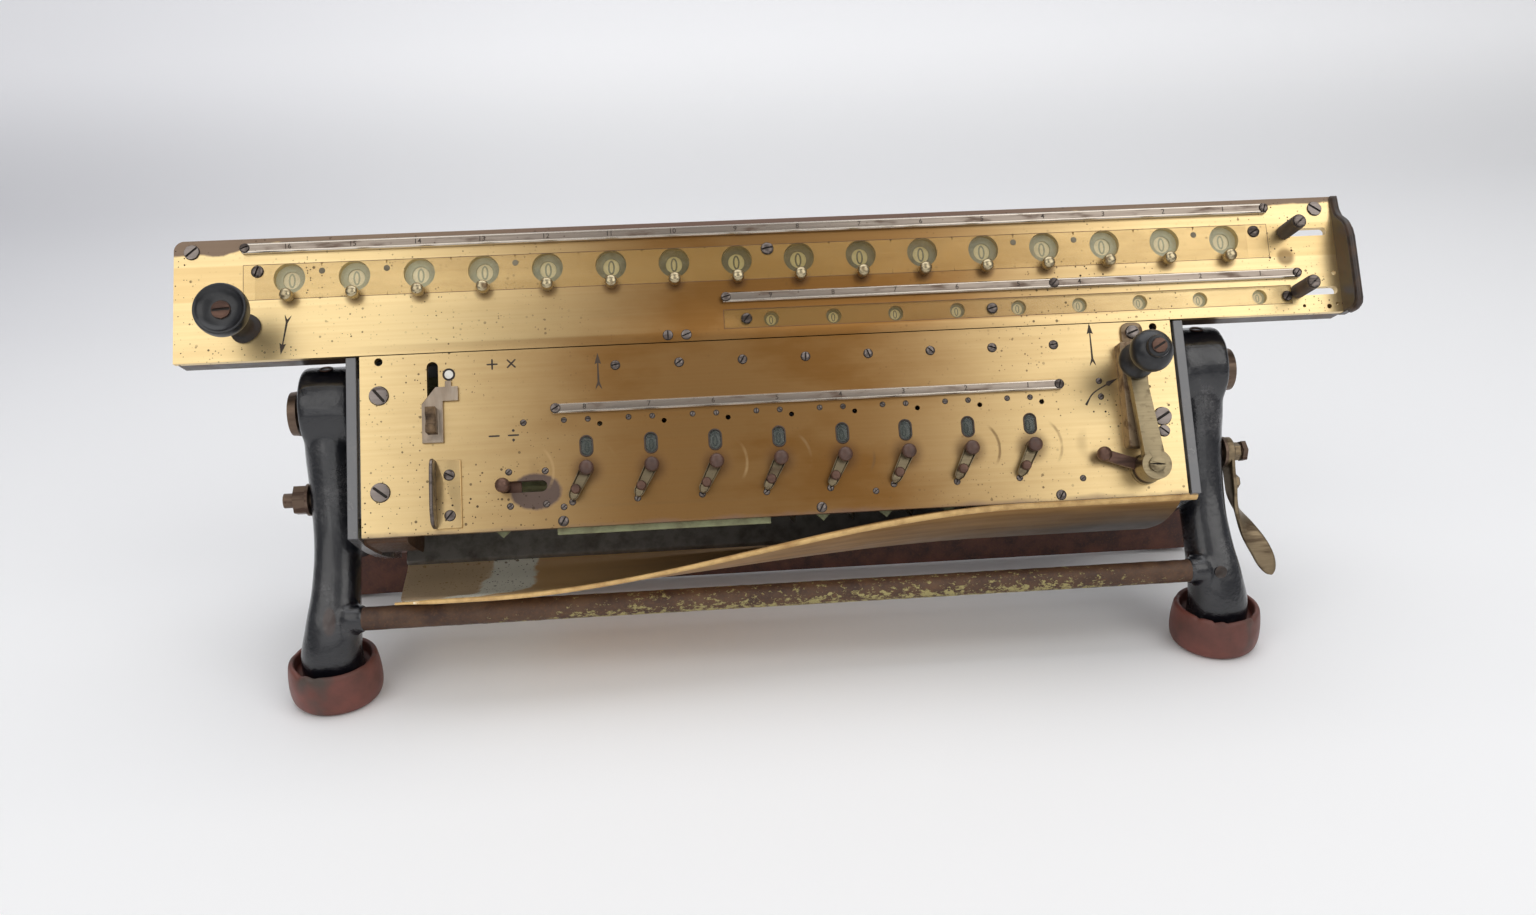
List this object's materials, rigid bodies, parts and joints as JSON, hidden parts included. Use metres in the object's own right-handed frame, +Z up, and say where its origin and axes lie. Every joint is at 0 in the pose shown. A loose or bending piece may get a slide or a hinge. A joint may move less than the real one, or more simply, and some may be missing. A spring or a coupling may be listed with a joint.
{
  "type": "mechanical calculator",
  "caption": "Stepped drum calculating machine with a brass face, a sliding upper carriage of dials, setting levers and a hand crank, tilting in a black iron stand.",
  "frame": {"origin": "on the floor, at the middle of the bounding box in X and Y", "axes": "+X to the right seen from the front, +Y to the back, +Z up; the face plate leans back 32 degrees from the vertical"},
  "size_m": [0.476, 0.1236, 0.1768],
  "materials": {
    "black_enamel": "gloss",
    "rusty_rod": "aged",
    "oxide_bar": "matt",
    "red_rubber": "matt",
    "dull_steel": "aged",
    "nickel": "worn",
    "face_brass": "brushed",
    "sheet_brass": "dull",
    "green_paint": "matt",
    "machined_steel": "satin",
    "ebonite": "gloss",
    "dark_bronze": "satin",
    "clear_strip": "yellowed",
    "dial_paint": "matt"
  },
  "bodies": {
    "stand": {"stand_castings": "black_enamel", "front_rod": "rusty_rod", "rear_bar": "oxide_bar", "rubber_feet": "red_rubber", "stand_fixings": "dull_steel"},
    "case": {"face_plate": "face_brass", "end_plates": "black_enamel", "back_cover": "black_enamel", "belly_cover": "sheet_brass", "bearing_rails": "green_paint", "guide_rod": "machined_steel", "face_fittings": "nickel", "square_shafts": "machined_steel"},
    "carriage_slider": {"saddle": "machined_steel"},
    "carriage": {"carriage_plate": "face_brass", "carriage_frame": "dark_bronze", "carriage_fittings": "nickel", "window_strips": "clear_strip", "counter_dials": "dial_paint"},
    "clamp": {"clamp_lever": "nickel"},
    "crank_arm": {"crank": "nickel"},
    "crank_grip": {"crank_knob": "ebonite"},
    "shaft": {"main_shaft": "machined_steel"},
    "drum_body_1": {"drum_1": "sheet_brass"},
    "drum_body_2": {"drum_2": "sheet_brass"},
    "drum_body_3": {"drum_3": "sheet_brass"},
    "drum_body_4": {"drum_4": "sheet_brass"},
    "drum_body_5": {"drum_5": "sheet_brass"},
    "drum_body_6": {"drum_6": "sheet_brass"},
    "drum_body_7": {"drum_7": "sheet_brass"},
    "drum_body_8": {"drum_8": "sheet_brass"},
    "setting_body_1": {"setting_1": "nickel"},
    "setting_body_2": {"setting_2": "nickel"},
    "setting_body_3": {"setting_3": "nickel"},
    "setting_body_4": {"setting_4": "nickel"},
    "setting_body_5": {"setting_5": "nickel"},
    "setting_body_6": {"setting_6": "nickel"},
    "setting_body_7": {"setting_7": "nickel"},
    "setting_body_8": {"setting_8": "nickel"},
    "stop": {"stop_lever": "dull_steel"},
    "reversing": {"reversing_slider": "nickel"},
    "clearing": {"clear_lever": "dull_steel"},
    "pin_upper": {"clear_pin_upper": "dark_bronze"},
    "pin_lower": {"clear_pin_lower": "dark_bronze"},
    "dial_body_1": {"dial_1": "dial_paint"},
    "dial_body_2": {"dial_2": "dial_paint"},
    "dial_body_3": {"dial_3": "dial_paint"},
    "dial_body_4": {"dial_4": "dial_paint"},
    "dial_body_5": {"dial_5": "dial_paint"},
    "dial_body_6": {"dial_6": "dial_paint"},
    "dial_body_7": {"dial_7": "dial_paint"},
    "dial_body_8": {"dial_8": "dial_paint"},
    "dial_body_9": {"dial_9": "dial_paint"},
    "dial_body_10": {"dial_10": "dial_paint"},
    "dial_body_11": {"dial_11": "dial_paint"},
    "dial_body_12": {"dial_12": "dial_paint"},
    "dial_body_13": {"dial_13": "dial_paint"},
    "dial_body_14": {"dial_14": "dial_paint"},
    "dial_body_15": {"dial_15": "dial_paint"},
    "dial_body_16": {"dial_16": "dial_paint"}
  },
  "joints": [
    {"name": "case_tilt", "type": "hinge", "parent": "stand", "child": "case", "pos_m": [-0.00275, 0.00139, 0.107], "axis": [1, 0, 0], "range_deg": [-15, 4]},
    {"name": "carriage_shift", "type": "slide", "parent": "case", "child": "carriage_slider", "axis": [1, 0, 0], "range_m": [-0.0762, 0.127]},
    {"name": "carriage_lift", "type": "hinge", "parent": "carriage_slider", "child": "carriage", "pos_m": [-0.00275, 0.04326, 0.15513], "axis": [-1, 0, 0], "range_deg": [0, 18]},
    {"name": "clamp_turn", "type": "hinge", "parent": "stand", "child": "clamp", "pos_m": [0.19025, -0.01361, 0.075], "axis": [1, 0, 0], "range_deg": [-35, 25]},
    {"name": "crank_turn", "type": "hinge", "parent": "case", "child": "crank_arm", "pos_m": [0.14405, -0.04254, 0.08198], "axis": [0, -0.848, 0.5299], "continuous": true},
    {"name": "crank_knob_spin", "type": "hinge", "parent": "crank_arm", "child": "crank_grip", "pos_m": [0.13976, -0.02056, 0.11716], "axis": [0, -0.848, 0.5299], "continuous": true},
    {"name": "main_shaft_turn", "type": "hinge", "parent": "case", "child": "shaft", "pos_m": [-0.00275, -0.00353, 0.0576], "axis": [1, 0, 0], "continuous": true},
    {"name": "drum_1_turn", "type": "hinge", "parent": "case", "child": "drum_body_1", "pos_m": [-0.07895, -0.00353, 0.0576], "axis": [0, 0.5299, 0.848], "continuous": true},
    {"name": "drum_2_turn", "type": "hinge", "parent": "case", "child": "drum_body_2", "pos_m": [-0.05355, -0.00353, 0.0576], "axis": [0, 0.5299, 0.848], "continuous": true},
    {"name": "drum_3_turn", "type": "hinge", "parent": "case", "child": "drum_body_3", "pos_m": [-0.02815, -0.00353, 0.0576], "axis": [0, 0.5299, 0.848], "continuous": true},
    {"name": "drum_4_turn", "type": "hinge", "parent": "case", "child": "drum_body_4", "pos_m": [-0.00275, -0.00353, 0.0576], "axis": [0, 0.5299, 0.848], "continuous": true},
    {"name": "drum_5_turn", "type": "hinge", "parent": "case", "child": "drum_body_5", "pos_m": [0.02265, -0.00353, 0.0576], "axis": [0, 0.5299, 0.848], "continuous": true},
    {"name": "drum_6_turn", "type": "hinge", "parent": "case", "child": "drum_body_6", "pos_m": [0.04805, -0.00353, 0.0576], "axis": [0, 0.5299, 0.848], "continuous": true},
    {"name": "drum_7_turn", "type": "hinge", "parent": "case", "child": "drum_body_7", "pos_m": [0.07345, -0.00353, 0.0576], "axis": [0, 0.5299, 0.848], "continuous": true},
    {"name": "drum_8_turn", "type": "hinge", "parent": "case", "child": "drum_body_8", "pos_m": [0.09885, -0.00353, 0.0576], "axis": [0, 0.5299, 0.848], "continuous": true},
    {"name": "setting_1_turn", "type": "hinge", "parent": "case", "child": "setting_body_1", "pos_m": [-0.07895, -0.03629, 0.09199], "axis": [0, -0.848, 0.5299], "range_deg": [0, 270]},
    {"name": "setting_2_turn", "type": "hinge", "parent": "case", "child": "setting_body_2", "pos_m": [-0.05355, -0.03629, 0.09199], "axis": [0, -0.848, 0.5299], "range_deg": [0, 270]},
    {"name": "setting_3_turn", "type": "hinge", "parent": "case", "child": "setting_body_3", "pos_m": [-0.02815, -0.03629, 0.09199], "axis": [0, -0.848, 0.5299], "range_deg": [0, 270]},
    {"name": "setting_4_turn", "type": "hinge", "parent": "case", "child": "setting_body_4", "pos_m": [-0.00275, -0.03629, 0.09199], "axis": [0, -0.848, 0.5299], "range_deg": [0, 270]},
    {"name": "setting_5_turn", "type": "hinge", "parent": "case", "child": "setting_body_5", "pos_m": [0.02265, -0.03629, 0.09199], "axis": [0, -0.848, 0.5299], "range_deg": [0, 270]},
    {"name": "setting_6_turn", "type": "hinge", "parent": "case", "child": "setting_body_6", "pos_m": [0.04805, -0.03629, 0.09199], "axis": [0, -0.848, 0.5299], "range_deg": [0, 270]},
    {"name": "setting_7_turn", "type": "hinge", "parent": "case", "child": "setting_body_7", "pos_m": [0.07345, -0.03629, 0.09199], "axis": [0, -0.848, 0.5299], "range_deg": [0, 270]},
    {"name": "setting_8_turn", "type": "hinge", "parent": "case", "child": "setting_body_8", "pos_m": [0.09885, -0.03629, 0.09199], "axis": [0, -0.848, 0.5299], "range_deg": [0, 270]},
    {"name": "stop_turn", "type": "hinge", "parent": "case", "child": "stop", "pos_m": [0.14405, -0.04254, 0.08198], "axis": [0, -0.848, 0.5299], "range_deg": [-8, 10]},
    {"name": "reversing_shift", "type": "slide", "parent": "case", "child": "reversing", "axis": [0, 0.5299, 0.848], "range_m": [0, 0.0125]},
    {"name": "clear_shift", "type": "slide", "parent": "case", "child": "clearing", "axis": [1, 0, 0], "range_m": [0, 0.013]},
    {"name": "clear_upper_shift", "type": "slide", "parent": "carriage", "child": "pin_upper", "axis": [1, 0, 0], "range_m": [0, 0.0165]},
    {"name": "clear_lower_shift", "type": "slide", "parent": "carriage", "child": "pin_lower", "axis": [1, 0, 0], "range_m": [0, 0.015]},
    {"name": "dial_1_turn", "type": "hinge", "parent": "carriage", "child": "dial_body_1", "pos_m": [-0.19325, 0.0033, 0.15534], "axis": [0, -0.848, 0.5299], "continuous": true},
    {"name": "dial_2_turn", "type": "hinge", "parent": "carriage", "child": "dial_body_2", "pos_m": [-0.16785, 0.0033, 0.15534], "axis": [0, -0.848, 0.5299], "continuous": true},
    {"name": "dial_3_turn", "type": "hinge", "parent": "carriage", "child": "dial_body_3", "pos_m": [-0.14245, 0.0033, 0.15534], "axis": [0, -0.848, 0.5299], "continuous": true},
    {"name": "dial_4_turn", "type": "hinge", "parent": "carriage", "child": "dial_body_4", "pos_m": [-0.11705, 0.0033, 0.15534], "axis": [0, -0.848, 0.5299], "continuous": true},
    {"name": "dial_5_turn", "type": "hinge", "parent": "carriage", "child": "dial_body_5", "pos_m": [-0.09165, 0.0033, 0.15534], "axis": [0, -0.848, 0.5299], "continuous": true},
    {"name": "dial_6_turn", "type": "hinge", "parent": "carriage", "child": "dial_body_6", "pos_m": [-0.06625, 0.0033, 0.15534], "axis": [0, -0.848, 0.5299], "continuous": true},
    {"name": "dial_7_turn", "type": "hinge", "parent": "carriage", "child": "dial_body_7", "pos_m": [-0.04085, 0.0033, 0.15534], "axis": [0, -0.848, 0.5299], "continuous": true},
    {"name": "dial_8_turn", "type": "hinge", "parent": "carriage", "child": "dial_body_8", "pos_m": [-0.01545, 0.0033, 0.15534], "axis": [0, -0.848, 0.5299], "continuous": true},
    {"name": "dial_9_turn", "type": "hinge", "parent": "carriage", "child": "dial_body_9", "pos_m": [0.00995, 0.0033, 0.15534], "axis": [0, -0.848, 0.5299], "continuous": true},
    {"name": "dial_10_turn", "type": "hinge", "parent": "carriage", "child": "dial_body_10", "pos_m": [0.03535, 0.0033, 0.15534], "axis": [0, -0.848, 0.5299], "continuous": true},
    {"name": "dial_11_turn", "type": "hinge", "parent": "carriage", "child": "dial_body_11", "pos_m": [0.06075, 0.0033, 0.15534], "axis": [0, -0.848, 0.5299], "continuous": true},
    {"name": "dial_12_turn", "type": "hinge", "parent": "carriage", "child": "dial_body_12", "pos_m": [0.08615, 0.0033, 0.15534], "axis": [0, -0.848, 0.5299], "continuous": true},
    {"name": "dial_13_turn", "type": "hinge", "parent": "carriage", "child": "dial_body_13", "pos_m": [0.11155, 0.0033, 0.15534], "axis": [0, -0.848, 0.5299], "continuous": true},
    {"name": "dial_14_turn", "type": "hinge", "parent": "carriage", "child": "dial_body_14", "pos_m": [0.13695, 0.0033, 0.15534], "axis": [0, -0.848, 0.5299], "continuous": true},
    {"name": "dial_15_turn", "type": "hinge", "parent": "carriage", "child": "dial_body_15", "pos_m": [0.16235, 0.0033, 0.15534], "axis": [0, -0.848, 0.5299], "continuous": true},
    {"name": "dial_16_turn", "type": "hinge", "parent": "carriage", "child": "dial_body_16", "pos_m": [0.18775, 0.0033, 0.15534], "axis": [0, -0.848, 0.5299], "continuous": true}
  ],
  "couplings": [
    {"joint": "main_shaft_turn", "follows": "crank_turn", "ratio": 1},
    {"joint": "drum_1_turn", "follows": "crank_turn", "ratio": -1},
    {"joint": "drum_2_turn", "follows": "crank_turn", "ratio": -1},
    {"joint": "drum_3_turn", "follows": "crank_turn", "ratio": -1},
    {"joint": "drum_4_turn", "follows": "crank_turn", "ratio": -1},
    {"joint": "drum_5_turn", "follows": "crank_turn", "ratio": -1},
    {"joint": "drum_6_turn", "follows": "crank_turn", "ratio": -1},
    {"joint": "drum_7_turn", "follows": "crank_turn", "ratio": -1},
    {"joint": "drum_8_turn", "follows": "crank_turn", "ratio": -1}
  ]
}
